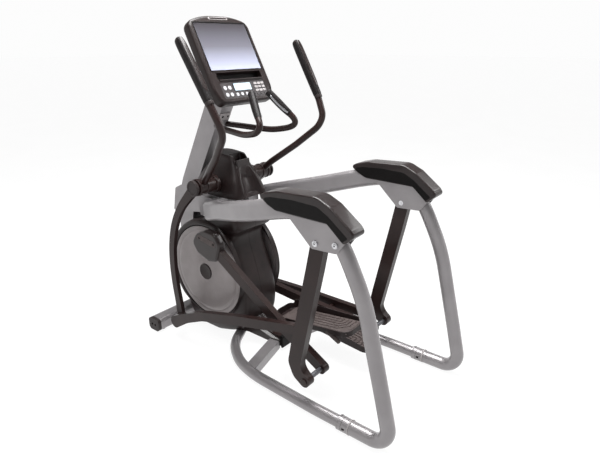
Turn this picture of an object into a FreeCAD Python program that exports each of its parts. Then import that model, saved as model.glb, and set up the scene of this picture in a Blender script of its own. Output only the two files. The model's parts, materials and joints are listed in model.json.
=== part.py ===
"""Rear-access elliptical trainer: welded tube frame, front crank drive, hanging swing arms.

Millimetres. +X is the user's right, +Y the way the user faces, +Z up. The origin is on the
floor, under the middle of the machine.
"""
import FreeCAD, Part
import math
import os
from FreeCAD import Placement, Rotation, Vector

DIMENSIONS = {
    # linkage, in the side view
    "crank_throw": 217, "crank_angle": 104.7, "crank_y": 475, "crank_z": 385,
    "hanger_y": -443, "hanger_z": 842, "hanger_length": 680.4,
    "support_length": 903.8, "pedal_pivot": 301, "pedal_link_length": 731,
    "lever_y": 395, "lever_z": 895, "lever_length": 821.5,
    # planes of the linkage, as distances from the middle plane
    "disc_near": 150, "disc_far": 160, "pin_end": 198, "pedal_near": 45, "pedal_far": 196,
    "support_near": 205, "support_far": 240, "knuckle_near": 201.5, "knuckle_far": 245,
    "lever_near": 250, "lever_far": 272, "link_near": 280, "link_far": 312,
    "hanger_near": 324, "hanger_far": 362, "gusset_near": 312, "gusset_far": 372,
    "plate": 6, "hub_near": 132, "hub_radius": 39, "shaft_radius": 12, "axle_radius": 15,
    "fit": 0.05, "middle": 0, "foot_slope": 8.8,
    # frame
    "tube_wall": 3, "hoop_radius": 32, "hoop_x": 342, "floor_radius": 27, "sleeve_radius": 33,
    "spine_width": 80, "spine_low": 22, "spine_high": 82, "spine_rear": 40, "spine_front": 695,
    "stabilizer_y": 740, "stabilizer_z": 42, "stabilizer_deep": 90, "stabilizer_high": 74,
    "stabilizer_half": 330, "cap_length": 20, "foot_radius": 26,
    "mast_width": 80, "side_plate": 4, "rail_wide": 60, "rail_high": 100,
    "cover_near": 300, "cover_far": 384, "bracket_far": 168, "bracket_wing": 96, "bracket_wall": 5,
    # drive
    "disc_radius": 258, "hub_disc_radius": 45, "pulley_radius": 130, "pulley_wide": 18,
    "flywheel_y": 400, "flywheel_z": 552, "flywheel_radius": 90, "flywheel_wide": 34,
    "small_pulley_radius": 26, "bearing_plate_x": 62, "crank_axle_radius": 12.5,
    # covers
    "shroud_half": 142, "shroud_wall": 3, "cover_wall": 4,
    # console
    "console_wide": 400, "console_high": 448, "console_deep": 56, "console_lean": 27.9,
    "console_y": 250, "console_z": 1305, "screen_wide": 340, "screen_high": 242, "screen_low": 166,
    # hand holds
    "lever_tube_radius": 17.5, "grip_radius": 21, "pulse_tube_radius": 15, "sensor_radius": 17,
}

DERIVED = {
    "mast_half": "mast_width / 2", "bracket_skin": "bracket_wing - bracket_wall",
    "gusset_far_face": "gusset_far + plate", "gusset_near_face": "gusset_near - plate",
    "plate_near": "bearing_plate_x", "plate_far": "bearing_plate_x + plate",
    "cover_inner_near": "cover_near + cover_wall", "cover_inner_far": "cover_far - cover_wall",
    "shroud_inner": "shroud_half - shroud_wall",
}

SIDES = (("left", -1), ("right", 1))
X_AXIS = Vector(1, 0, 0)

doc = FreeCAD.newDocument("elliptical_trainer")
sheet = doc.addObject("Spreadsheet::Sheet", "dims")
for row, (alias, value) in enumerate({**DIMENSIONS, **DERIVED}.items(), start=1):
    formula = "=" + value if isinstance(value, str) else str(value)
    sheet.set("A%d" % row, alias)
    sheet.set("B%d" % row, formula)
    sheet.setAlias("B%d" % row, alias)
doc.recompute()

nodes = []


def dim(alias):
    """Value of one cell of the sheet."""
    return float(sheet.get(alias))


def node(obj, name):
    """Name an object as one physical piece of the machine."""
    obj.Label = name
    nodes.append(obj)
    return obj


# ---------------------------------------------------------------- outlines

def rounded(points):
    """Edges of a closed outline whose corners (a, b, radius) are rounded."""
    edges = []
    count = len(points)
    trims = []
    for i, (a, b, radius) in enumerate(points):
        here = Vector(a, b, 0)
        before = Vector(points[i - 1][0], points[i - 1][1], 0) - here
        after = Vector(points[(i + 1) % count][0], points[(i + 1) % count][1], 0) - here
        half = before.getAngle(after) / 2
        reach = min(radius / math.tan(half), 0.49 * before.Length, 0.49 * after.Length)
        bow = reach * math.tan(half)
        start = here + before.normalize() * reach
        end = here + after.normalize() * reach
        middle = (before + after)
        top = here + middle.normalize() * (bow / math.sin(half) - bow) if middle.Length > 1e-6 else here
        trims.append((start, top, end))
    for i, (start, top, end) in enumerate(trims):
        if (end - start).Length > 0.02:
            edges.append(Part.Arc(start, top, end))
        following = trims[(i + 1) % count][0]
        if (following - end).Length > 1e-4:
            edges.append(Part.LineSegment(end, following))
    return edges


def stroke(points, radius):
    """Outline of a bar whose centre line is a list of (a, b, half width)."""
    left, right = [], []
    last = len(points) - 1
    for i, (a, b, half) in enumerate(points):
        back = points[max(i - 1, 0)]
        front = points[min(i + 1, last)]
        along = Vector(front[0] - back[0], front[1] - back[1], 0).normalize()
        normal = Vector(-along.y, along.x, 0)
        push = along * (half if i == last else -half if i == 0 else 0)
        bend = half if i in (0, last) else radius
        spot = Vector(a, b, 0) + push
        left.append((spot.x + normal.x * half, spot.y + normal.y * half, bend))
        right.append((spot.x - normal.x * half, spot.y - normal.y * half, bend))
    return left + right[::-1]


def ring(a, b, radius):
    """Round loop of a sketch."""
    return [Part.Circle(Vector(a, b, 0), Vector(0, 0, 1), radius)]


def box_outline(a_low, b_low, a_high, b_high, radius):
    return rounded([(a_low, b_low, radius), (a_high, b_low, radius),
                    (a_high, b_high, radius), (a_low, b_high, radius)])


# ---------------------------------------------------------------- makers

def body_pad(name, plane, loops, length, base_x="0", at=(0, 0), turn=0):
    """PartDesign body: a sketch on an origin plane, padded along the plane's normal."""
    body = doc.addObject("PartDesign::Body", name)
    sketch = body.newObject("Sketcher::SketchObject", name + "_sketch")
    origin_plane = [f for f in body.Origin.OriginFeatures if f.Role == plane][0]
    sketch.AttachmentSupport = [(origin_plane, "")]
    sketch.MapMode = "FlatFace"
    for loop in loops:
        sketch.addGeometry(loop, False)
    pad = body.newObject("PartDesign::Pad", name + "_pad")
    pad.Profile = sketch
    pad.setExpression("Length", length)
    body.Placement = Placement(Vector(0, at[0], at[1]), Rotation(X_AXIS, turn))
    body.setExpression("Placement.Base.x", base_x)
    return body


def slab(name, loops, side, near, far, at=(0, 0), turn=0):
    """Flat piece on one side of the middle plane, from |x| = near to |x| = far."""
    base = "-dims.%s" % far if side < 0 else "dims.%s" % near
    return body_pad(name, "YZ_Plane", loops, "dims.%s - dims.%s" % (far, near), base, at, turn)


def solid_box(name, low, size, turn=None):
    box = doc.addObject("Part::Box", name)
    box.Length, box.Width, box.Height = size
    box.Placement = Placement(Vector(*low), turn if turn else Rotation())
    return box


def rod(name, x_low, x_high, y, z, radius):
    """Round bar along X; radius and ends are sheet expressions."""
    bar = doc.addObject("Part::Cylinder", name)
    bar.setExpression("Radius", radius)
    bar.setExpression("Height", "(%s) - (%s)" % (x_high, x_low))
    bar.Placement = Placement(Vector(0, y, z), Rotation(Vector(0, 1, 0), 90))
    bar.setExpression("Placement.Base.x", x_low)
    return bar


def side_rod(name, side, near, far, y, z, radius):
    if side < 0:
        return rod(name, "-(%s)" % far, "-(%s)" % near, y, z, radius)
    return rod(name, near, far, y, z, radius)


def fuse(name, parts):
    joined = doc.addObject("Part::MultiFuse", name)
    joined.Shapes = parts
    return joined


def group(name, parts):
    """Several separate solids in one node."""
    gathered = doc.addObject("Part::Compound", name)
    gathered.Links = parts
    return gathered


def cut(name, base, tools):
    """Base less every tool."""
    result = doc.addObject("Part::Cut", name)
    result.Base = base
    result.Tool = tools[0] if len(tools) == 1 else fuse(name + "_tools", tools)
    return result


def bent_wire(points, bend):
    """Wire through 3-D points with every inner corner rounded; a fourth value sets its own bend."""
    spots = [Vector(*p[:3]) for p in points]
    bends = [p[3] if len(p) > 3 else bend for p in points]
    edges = []
    start = spots[0]
    for before, corner, after, radius in zip(spots, spots[1:], spots[2:], bends[1:]):
        back = (before - corner)
        ahead = (after - corner)
        half = back.getAngle(ahead) / 2
        reach = min(radius / math.tan(half), 0.48 * back.Length, 0.48 * ahead.Length)
        bow = reach * math.tan(half)
        back.normalize()
        ahead.normalize()
        middle = (back + ahead).normalize()
        arc = Part.Arc(corner + back * reach, corner + middle * (bow / math.sin(half) - bow),
                       corner + ahead * reach)
        edges.append(Part.LineSegment(start, corner + back * reach).toShape())
        edges.append(arc.toShape())
        start = corner + ahead * reach
    edges.append(Part.LineSegment(start, spots[-1]).toShape())
    return Part.Wire(edges)


def sweep(name, wire_object, radius):
    """Round bar along a path; radius is a sheet expression."""
    wire = wire_object.Shape
    first = wire.Edges[0]
    circle = doc.addObject("Part::Circle", name + "_profile")
    circle.setExpression("Radius", radius)
    heading = first.tangentAt(first.FirstParameter)
    circle.Placement = Placement(first.Vertexes[0].Point, Rotation(Vector(0, 0, 1), heading))
    bar = doc.addObject("Part::Sweep", name)
    bar.Sections = [circle]
    bar.Spine = (wire_object, ["Edge%d" % (i + 1) for i in range(len(wire.Edges))])
    bar.Solid = True
    bar.Frenet = False
    return bar


def path_object(name, points, bend):
    path = doc.addObject("Part::Feature", name + "_path")
    path.Shape = bent_wire(points, bend)
    return path


def bar(name, points, bend, radius):
    return sweep(name, path_object(name, points, bend), radius)


def tube(name, points, bend, radius):
    """Hollow round tube with the frame's wall thickness."""
    path = path_object(name, points, bend)
    outer = sweep(name + "_outer", path, radius)
    inner = sweep(name + "_inner", path, radius + " - dims.tube_wall")
    return cut(name, outer, [inner]), outer


def loft(name, wires):
    """Solid through closed wires."""
    sections = []
    for i, wire in enumerate(wires):
        section = doc.addObject("Part::Feature", "%s_section%d" % (name, i))
        section.Shape = wire
        sections.append(section)
    skin = doc.addObject("Part::Loft", name)
    skin.Sections = sections
    skin.Solid = True
    skin.Ruled = False
    return skin


def rectangle_wire(width, height, radius, placement):
    """Rounded rectangle centred on the placement, across its own XY plane."""
    edges = [e.toShape() for e in box_outline(-width / 2, -height / 2, width / 2, height / 2, radius)]
    wire = Part.Wire(edges)
    wire.Placement = placement
    return wire


# ---------------------------------------------------------------- linkage

def circle_meet(c1, r1, c2, r2, lower):
    """Where two circles in the side view meet; lower picks the lower or the forward point."""
    gap = math.hypot(c2[0] - c1[0], c2[1] - c1[1])
    along = (r1 * r1 - r2 * r2 + gap * gap) / (2 * gap)
    off = math.sqrt(r1 * r1 - along * along)
    u = ((c2[0] - c1[0]) / gap, (c2[1] - c1[1]) / gap)
    found = [(c1[0] + along * u[0] - s * off * u[1], c1[1] + along * u[1] + s * off * u[0])
             for s in (1, -1)]
    return min(found, key=lambda p: p[1]) if lower else max(found, key=lambda p: p[0])


def heading(start, end):
    return math.degrees(math.atan2(end[1] - start[1], end[0] - start[0]))


def linkage(crank_angle):
    """Pivots and angles of one side for a crank angle in degrees."""
    turn = math.radians(crank_angle)
    pin = (dim("crank_y") + dim("crank_throw") * math.cos(turn),
           dim("crank_z") + dim("crank_throw") * math.sin(turn))
    hanger = (dim("hanger_y"), dim("hanger_z"))
    foot = circle_meet(hanger, dim("hanger_length"), pin, dim("support_length"), True)
    support = heading(foot, pin)
    reach = dim("pedal_pivot")
    pedal = (foot[0] + reach * math.cos(math.radians(support)),
             foot[1] + reach * math.sin(math.radians(support)))
    lever = (dim("lever_y"), dim("lever_z"))
    toe = circle_meet(lever, dim("lever_length"), pedal, dim("pedal_link_length"), False)
    return {"pin": pin, "hanger": hanger, "foot": foot, "support": support, "pedal": pedal,
            "lever": lever, "toe": toe, "link": heading(pedal, toe),
            "hang": heading(hanger, foot) + 90, "swing": heading(lever, toe) + 90}


POSES = {"left": linkage(dim("crank_angle")), "right": linkage(dim("crank_angle") + 180)}
REST = POSES["left"]


# ---------------------------------------------------------------- frame

MAST_OUTLINE = [(400, 1285, 4), (530, 1285, 4), (775, 826, 300), (822, 640, 300), (816, 440, 400),
                (775, 82, 4), (700, 82, 4), (708, 440, 300), (700, 640, 300), (640, 838, 200)]


def inset(points, wall):
    """Outline moved inwards by the wall thickness."""
    face = Part.Face(Part.Wire([e.toShape() for e in rounded(points)]))
    wire = face.OuterWire.makeOffset2D(-wall)
    loop = []
    for edge in Part.__sortEdges__(wire.Edges):
        first, last = edge.Vertexes[0].Point, edge.Vertexes[-1].Point
        if isinstance(edge.Curve, Part.Circle):
            middle = edge.valueAt((edge.FirstParameter + edge.LastParameter) / 2)
            loop.append(Part.Arc(first, middle, last))
        else:
            loop.append(Part.LineSegment(first, last))
    return loop


def build_base():
    """Spine, front stabilizer with its caps and feet, base cover."""
    half = dim("spine_width") / 2
    low, high = dim("spine_low"), dim("spine_high")
    wall = dim("tube_wall")
    length = dim("spine_front") - dim("spine_rear")
    outer = solid_box("spine_outer", (-half, dim("spine_rear"), low), (2 * half, length, high - low))
    inner = solid_box("spine_inner", (wall - half, dim("spine_rear"), low + wall),
                      (2 * (half - wall), length, high - low - 2 * wall))
    node(cut("main_spine", outer, [inner]), "main_spine")

    y, z = dim("stabilizer_y"), dim("stabilizer_z")
    deep, tall = dim("stabilizer_deep") / 2, dim("stabilizer_high") / 2
    outline = box_outline(y - deep, z - tall, y + deep, z + tall, 22)
    bore = box_outline(y - deep + wall, z - tall + wall, y + deep - wall, z + tall - wall, 19)
    node(body_pad("front_stabilizer", "YZ_Plane", [outline, bore], "dims.stabilizer_half * 2",
                  "-dims.stabilizer_half"), "front_stabilizer")
    caps = []
    feet = []
    for label, side in SIDES:
        base = "-dims.stabilizer_half - dims.cap_length" if side < 0 else "dims.stabilizer_half"
        blind = [ring(y - 12, z, 7), ring(y + 14, z, 7)]
        caps.append(body_pad(label + "_cap", "YZ_Plane", [outline] + blind, "dims.cap_length", base))
        foot = doc.addObject("Part::Cylinder", label + "_foot")
        foot.setExpression("Radius", "dims.foot_radius")
        foot.Height = z - tall
        foot.Placement = Placement(Vector(side * (dim("stabilizer_half") - 30), y, 0), Rotation())
        feet.append(foot)
    node(group("stabilizer_end_caps", caps), "stabilizer_end_caps")
    node(group("front_feet", feet), "front_feet")
    wedge = rounded([(20, 22, 6), (20, 86, 14), (70, 118, 30), (203, 190, 4), (203, 62, 2),
                     (39.5, 62, 0.4), (39.5, 22, 0.4)])
    cover = body_pad("base_cover_body", "YZ_Plane", [wedge], "dims.spine_width + 12",
                     "-(dims.spine_width / 2 + 6)")
    tail = solid_box("tail_room", (-half, dim("spine_rear"), low), (2 * half, 200, high - low))
    node(cut("base_cover", cover, [tail]), "base_cover")


def build_mast():
    """Fabricated box mast: a bent rim between two side plates, and the rail brackets."""
    rim = body_pad("mast", "YZ_Plane", [rounded(MAST_OUTLINE), inset(MAST_OUTLINE, 4)],
                   "dims.mast_width - 2 * dims.side_plate", "-(dims.mast_width / 2 - dims.side_plate)")
    node(rim, "mast")
    plates = []
    for label, side in SIDES:
        base = "-dims.mast_width / 2" if side < 0 else "dims.mast_width / 2 - dims.side_plate"
        plates.append(body_pad(label + "_mast_plate", "YZ_Plane", [rounded(MAST_OUTLINE)],
                               "dims.side_plate", base))
    node(group("mast_side_plates", plates), "mast_side_plates")

    lug = [(374, 822, 14), (374, 718, 14), (476, 716, 8), (500, 822, 8)]
    wing = [(400, 824, 4), (400, 716, 4), (600, 690, 60), (742, 664, 8), (796, 664, 8), (768, 800, 20),
            (640, 862, 30)]
    brackets = []
    for label, side in SIDES:
        outer = slab(label + "_bracket_wing", [rounded(wing)], side, "mast_half", "bracket_wing")
        inner = slab(label + "_bracket_hollow", [inset(wing, dim("bracket_wall"))], side,
                     "mast_half", "bracket_skin")
        block = slab(label + "_bracket_lug", [rounded(lug)], side, "bracket_skin", "bracket_far")
        shell = cut(label + "_bracket_shell", outer, [inner])
        brackets.append(fuse(label + "_bracket", [shell, block]))
    node(group("rail_brackets", brackets), "rail_brackets")
    wing_room = body_pad("wing_room", "YZ_Plane", [inset(wing, -1)], "dims.bracket_wing * 2 + 2",
                         "-(dims.bracket_wing + 1)")
    block = body_pad("mast_block", "YZ_Plane", [rounded(MAST_OUTLINE)], "dims.mast_width",
                     "-dims.mast_width / 2")
    return block, wing_room


def rail_wires(side, shrink):
    """Cross sections of a rail, from the mast bracket back to the rear cover."""
    stations = (((198, 372, 766), 0), ((262, 160, 824), 6), ((318, -90, 893), 12),
                ((336, -250, 938), 10), ((342, -440, 962), 2))
    wires = []
    for index, ((x, y, z), _) in enumerate(stations):
        before = Vector(*stations[max(index - 1, 0)][0])
        after = Vector(*stations[min(index + 1, len(stations) - 1)][0])
        along = after - before
        along.x *= side
        along.normalize()
        across = along.cross(Vector(0, 0, 1)).normalize()
        up = across.cross(along).normalize()
        turn = Rotation(across, up, along, "ZXY")
        place = Placement(Vector(side * x, y, z), turn)
        wide = dim("rail_wide") - 2 * shrink
        tall = dim("rail_high") - 2 * shrink - index * 3
        wires.append(rectangle_wire(wide, tall, 24 - shrink, place))
    return wires


def build_side_frame():
    """Rails, hoops, floor tubes, sleeves, gussets and rear covers on both sides."""
    sleeves = []
    gussets = []
    screws = []
    crosses = []
    for label, side in SIDES:
        x = side * dim("hoop_x")
        rail_outer = loft(label + "_rail_outer", rail_wires(side, 0))
        rail_inner = loft(label + "_rail_inner", rail_wires(side, dim("tube_wall")))
        node(cut(label + "_rail", rail_outer, [rail_inner]), label + "_rail")

        low = dim("sleeve_radius")
        hoop_points = [(x, -440, 966), (x, -500, 905, 400), (x, -562, 820, 600), (x, -655, 640, 1200),
                       (x, -757, 243, 2500), (x, -808, low), (x, -612, low)]
        hoop, hoop_solid = tube(label + "_hoop_tube", hoop_points, 90, "dims.hoop_radius")
        node(cut(label + "_hoop", hoop, [rail_outer]), label + "_hoop")

        floor_points = [(x, -556, low), (x, -420, low), (x * 0.96, -40, low), (side * 296, 96, low),
                        (side * 200, 240, low), (side * 30, 330, low)]
        floor, floor_solid = tube(label + "_floor_whole", floor_points, 600, "dims.floor_radius")
        spine_room = solid_box(label + "_spine_room", (-dim("spine_width") / 2, 40, 0),
                               (dim("spine_width"), 500, 120))
        node(cut(label + "_floor_tube", floor, [spine_room]), label + "_floor_tube")

        sleeve = doc.addObject("Part::Cylinder", label + "_sleeve_bar")
        sleeve.setExpression("Radius", "dims.sleeve_radius")
        sleeve.Height = 56
        sleeve.Placement = Placement(Vector(x, -612, low), Rotation(X_AXIS, -90))
        pin_hole = solid_box(label + "_pin_hole", (x - 60, -600, low - 6), (120, 14, 12))
        sleeves.append(cut(label + "_sleeve", sleeve, [pin_hole]))

        run = Vector(side * 310 - side * 36, 2 - 78, 0)
        angle = math.degrees(math.atan2(run.y, run.x))
        beam = solid_box(label + "_cross_beam", (side * 36, 78, 8), (run.Length, 60, 48),
                         Rotation(Vector(0, 0, 1), angle))
        beam.Placement = Placement(Vector(side * 36, 78, 8), Rotation(Vector(0, 0, 1), angle)).multiply(
            Placement(Vector(0, -30, 0), Rotation()))
        crosses.append(cut(label + "_cross_tube", beam, [floor_solid, spine_room]))

        gusset = rounded([(-300, 962, 4), (-300, 930, 2), (-424, 816, 14), (-545, 822, 22), (-580, 874, 6),
                          (-520, 926, 4), (-500, 962, 4)])
        plates = []
        for which, near, far in (("outer", "gusset_far", "gusset_far_face"),
                                 ("inner", "gusset_near_face", "gusset_near")):
            bore = ring(dim("hanger_y"), dim("hanger_z"), dim("shaft_radius"))
            plate = slab("%s_%s_gusset" % (label, which), [gusset, bore], side, near, far)
            plates.append(plate)
            gussets.append(cut("%s_%s_gusset_coped" % (label, which), plate, [hoop_solid, rail_outer]))
        head = side_rod(label + "_axle_head", side, "dims.gusset_far_face", "dims.gusset_far_face + 6",
                        dim("hanger_y"), dim("hanger_z"), "dims.shaft_radius")
        shank = side_rod(label + "_axle_shank", side, "dims.gusset_near_face", "dims.gusset_far_face",
                         dim("hanger_y"), dim("hanger_z"), "dims.shaft_radius")
        screws.append(fuse(label + "_hanger_axle", [head, shank]))
        screws.append(side_rod(label + "_rear_screw", side, "dims.gusset_far_face",
                               "dims.gusset_far_face + 6", -537, 856, "dims.shaft_radius"))

        profile = [(-150, 985, 10), (-196, 952, 20), (-240, 934, 30), (-500, 932, 12), (-574, 868, 6),
                   (-624, 908, 14), (-604, 932, 10), (-512, 1000, 40), (-446, 1032, 70),
                   (-250, 1020, 90), (-185, 1002, 40)]
        cover = slab(label + "_cover_outer", [rounded(profile)], side, "cover_near", "cover_far")
        hollow = slab(label + "_cover_inner", [inset(profile, dim("cover_wall"))], side,
                      "cover_inner_near", "cover_inner_far")
        tail_mouth = bar(label + "_tail_mouth", hoop_points[:4], 90, "dims.hoop_radius + 1")
        front_mouth = loft(label + "_front_mouth", rail_wires(side, -1))
        node(cut(label + "_rail_cover", cover, [hollow, tail_mouth, front_mouth] + plates),
             label + "_rail_cover")
    node(group("hoop_joints", sleeves), "hoop_joints")
    node(group("gussets", gussets), "gussets")
    node(group("hanger_axles", screws), "hanger_axles")
    node(group("cross_tubes", crosses), "cross_tubes")


# ---------------------------------------------------------------- drive

def build_drive():
    """Bearing plates, crank axle, discs, pins, pulley, flywheel, belt and brake."""
    y, z = dim("crank_y"), dim("crank_z")
    fly_y, fly_z = dim("flywheel_y"), dim("flywheel_z")
    plates = []
    for label, side in SIDES:
        outline = rounded([(y - 80, 82, 0.1), (y + 80, 82, 0.1), (y + 44, z + 30, 40),
                           (fly_y + 36, fly_z + 36, 30), (fly_y - 36, fly_z + 30, 30), (y - 90, z, 60)])
        holes = [ring(y, z, dim("crank_axle_radius") + dim("fit")), ring(fly_y, fly_z, 8 + dim("fit")),
                 rounded([(y - 50, 120, 20), (y + 50, 120, 20), (y + 36, z - 60, 20),
                          (y - 50, z - 60, 20)])]
        plates.append(slab(label + "_bearing_plate", [outline] + holes, side, "plate_near", "plate_far"))
    node(group("bearing_plates", plates), "bearing_plates")
    node(rod("crank_axle", "-dims.disc_near", "dims.disc_near", y, z, "dims.crank_axle_radius"),
         "crank_axle")
    pulley = rod("pulley_blank", "-dims.pulley_wide - 2", "-2", y, z, "dims.pulley_radius")
    bores = [rod("pulley_bore", "-dims.pulley_wide - 3", "0", y, z, "dims.crank_axle_radius")]
    for index in range(6):
        angle = math.radians(60 * index)
        bores.append(rod("pulley_hole%d" % index, "-dims.pulley_wide - 3", "0",
                         y + 78 * math.cos(angle), z + 78 * math.sin(angle), "28"))
    node(cut("drive_pulley", pulley, bores), "drive_pulley")
    discs, pins, caps = [], [], []
    for label, side in SIDES:
        pin_y, pin_z = POSES[label]["pin"]
        plate = side_rod(label + "_disc_plate", side, "dims.disc_near", "dims.disc_far - 4", y, z,
                         "dims.disc_radius")
        field = side_rod(label + "_disc_field", side, "dims.disc_far - 4", "dims.disc_far", y, z,
                         "dims.disc_radius - 34")
        discs.append(fuse(label + "_disc", [plate, field]))
        pins.append(side_rod(label + "_pin", side, "dims.disc_far", "dims.pin_end", pin_y, pin_z, "14"))
        caps.append(side_rod(label + "_cap_disc", side, "dims.disc_far", "dims.disc_far + 6", y, z,
                             "dims.hub_disc_radius"))
    node(group("crank_discs", discs), "crank_discs")
    node(group("crank_pins", pins), "crank_pins")
    node(group("disc_caps", caps), "disc_caps")

    wheel = rod("flywheel_rim", "4", "4 + dims.flywheel_wide", fly_y, fly_z, "dims.flywheel_radius")
    small = rod("flywheel_pulley", "-dims.pulley_wide - 2", "4", fly_y, fly_z,
                "dims.small_pulley_radius")
    shaft = rod("flywheel_shaft", "-dims.plate_far", "dims.plate_far", fly_y, fly_z, "8")
    node(fuse("flywheel", [wheel, small, shaft]), "flywheel")

    loops = []
    for thick in (5.0, 0.4):
        big, little = dim("pulley_radius") + thick, dim("small_pulley_radius") + thick
        gap = math.hypot(fly_y - y, fly_z - z)
        line = math.atan2(fly_z - z, fly_y - y)
        tilt = math.acos((big - little) / gap)
        points = []
        for centre, radius in (((y, z), big), ((fly_y, fly_z), little)):
            points.append([(centre[0] + radius * math.cos(line + s * tilt),
                            centre[1] + radius * math.sin(line + s * tilt)) for s in (1, -1)])
        (a_up, a_down), (b_up, b_down) = points
        far_big = (y - big * math.cos(line), z - big * math.sin(line))
        far_little = (fly_y + little * math.cos(line), fly_z + little * math.sin(line))
        loops.append([Part.Arc(Vector(*a_up, 0), Vector(*far_big, 0), Vector(*a_down, 0)),
                      Part.LineSegment(Vector(*a_down, 0), Vector(*b_down, 0)),
                      Part.Arc(Vector(*b_down, 0), Vector(*far_little, 0), Vector(*b_up, 0)),
                      Part.LineSegment(Vector(*b_up, 0), Vector(*a_up, 0))])
    node(body_pad("drive_belt", "YZ_Plane", loops, "dims.pulley_wide - 4", "-dims.pulley_wide"),
         "drive_belt")
    yoke = solid_box("yoke_block", (-8, fly_y + 70, fly_z + 4), (58, 50, 40))
    room = rod("yoke_room", "2", "6 + dims.flywheel_wide", fly_y, fly_z, "dims.flywheel_radius + 2")
    node(cut("brake_magnet", yoke, [room]), "brake_magnet")


# ---------------------------------------------------------------- covers

SHROUD_OUTLINE = [(244, 706, 14), (238, 654, 16), (288, 596, 50), (262, 480, 200), (212, 330, 120),
                  (205, 200, 40), (224, 96, 30), (300, 34, 40), (400, 22, 60), (640, 22, 40),
                  (688, 100, 30), (742, 270, 200), (756, 385, 200), (742, 500, 200), (690, 596, 120),
                  (600, 686, 60), (372, 712, 20)]


def build_shroud(wing_room):
    """Two halves of the drive cover, the upper tower and its accessory tray."""
    y, z = dim("crank_y"), dim("crank_z")
    mast_room = body_pad("mast_room", "YZ_Plane", [inset(MAST_OUTLINE, -1.5)], "dims.mast_width + 3",
                         "-(dims.mast_width / 2 + 1.5)")
    spine_room = solid_box("spine_clearance", (-41.5, 30, 0), (83, 800, 83.5))
    stabilizer_room = solid_box("stabilizer_clearance", (-400, 692, 0), (800, 110, 82))
    bracket_room = solid_box("bracket_clearance", (-200, 560, 654), (400, 300, 200))
    for label, side in SIDES:
        floor_path = path_object(label + "_floor_clearance", [
            (side * 296, 96, dim("sleeve_radius")), (side * 200, 240, dim("sleeve_radius")),
            (side * 30, 330, dim("sleeve_radius"))], 150)
        floor_room = sweep(label + "_floor_room", floor_path, "dims.floor_radius + 2")
        outer = slab(label + "_shroud_outer", [rounded(SHROUD_OUTLINE)], side, "middle", "shroud_half")
        inner = slab(label + "_shroud_inner", [inset(SHROUD_OUTLINE, dim("shroud_wall"))], side,
                     "middle", "shroud_inner")
        axle_hole = side_rod(label + "_axle_room", side, "100", "150", y, z, "30")
        node(cut(label + "_shroud", outer, [inner, mast_room, spine_room, stabilizer_room,
                                            bracket_room, floor_room, axle_hole]),
             label + "_shroud")

    def tower_wires(shrink):
        wires = []
        for height, half, rear, front in ((828, 122, 236, 650), (900, 104, 262, 604),
                                          (975, 74, 296, 545), (1026, 58, 340, 486)):
            level = height if height > 828 else height - (6 if shrink else 0)
            middle = Placement(Vector(0, (rear + front) / 2, level), Rotation())
            wires.append(rectangle_wire(2 * (half - shrink), front - rear - 2 * shrink, 30 - shrink,
                                        middle))
        return wires

    skin = loft("tower_outer", tower_wires(0))
    core = loft("tower_inner", tower_wires(4))
    core.Placement = Placement(Vector(0, 0, -4), Rotation())
    holder = solid_box("holder_hole", (-44, 300, 930), (88, 62, 120), Rotation(X_AXIS, -12))
    axle_room = rod("lever_axle_room", "-200", "200", dim("lever_y"), dim("lever_z"),
                    "dims.axle_radius + 3")
    node(cut("upper_shroud", skin, [core, mast_room, holder, axle_room, wing_room]), "upper_shroud")
    turn = Rotation(X_AXIS, -12)
    tray = solid_box("tray_outer", (-42, 302, 932), (84, 58, 70), turn)
    tray_room = solid_box("tray_room", (-38, 306, 937), (76, 50, 80), turn)
    tray_cut = cut("accessory_tray", tray, [tray_room])
    node(tray_cut, "accessory_tray")


# ---------------------------------------------------------------- console

def console_placement():
    return Placement(Vector(0, dim("console_y"), dim("console_z")),
                     Rotation(X_AXIS, 90 - dim("console_lean")))


def console_pad(name, loops, depth, low):
    """Piece of the console: outline across the face, padded towards the user."""
    body = body_pad(name, "XY_Plane", loops, depth)
    body.setExpression("Placement.Base.x", None)
    body.Placement = console_placement().multiply(Placement(Vector(0, 0, low), Rotation()))
    return body


def console_box(name, x_low, v_low, w_low, wide, tall, deep):
    box = doc.addObject("Part::Box", name)
    box.Length, box.Width, box.Height = wide, tall, deep
    box.Placement = console_placement().multiply(Placement(Vector(x_low, v_low, w_low), Rotation()))
    return box


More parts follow.
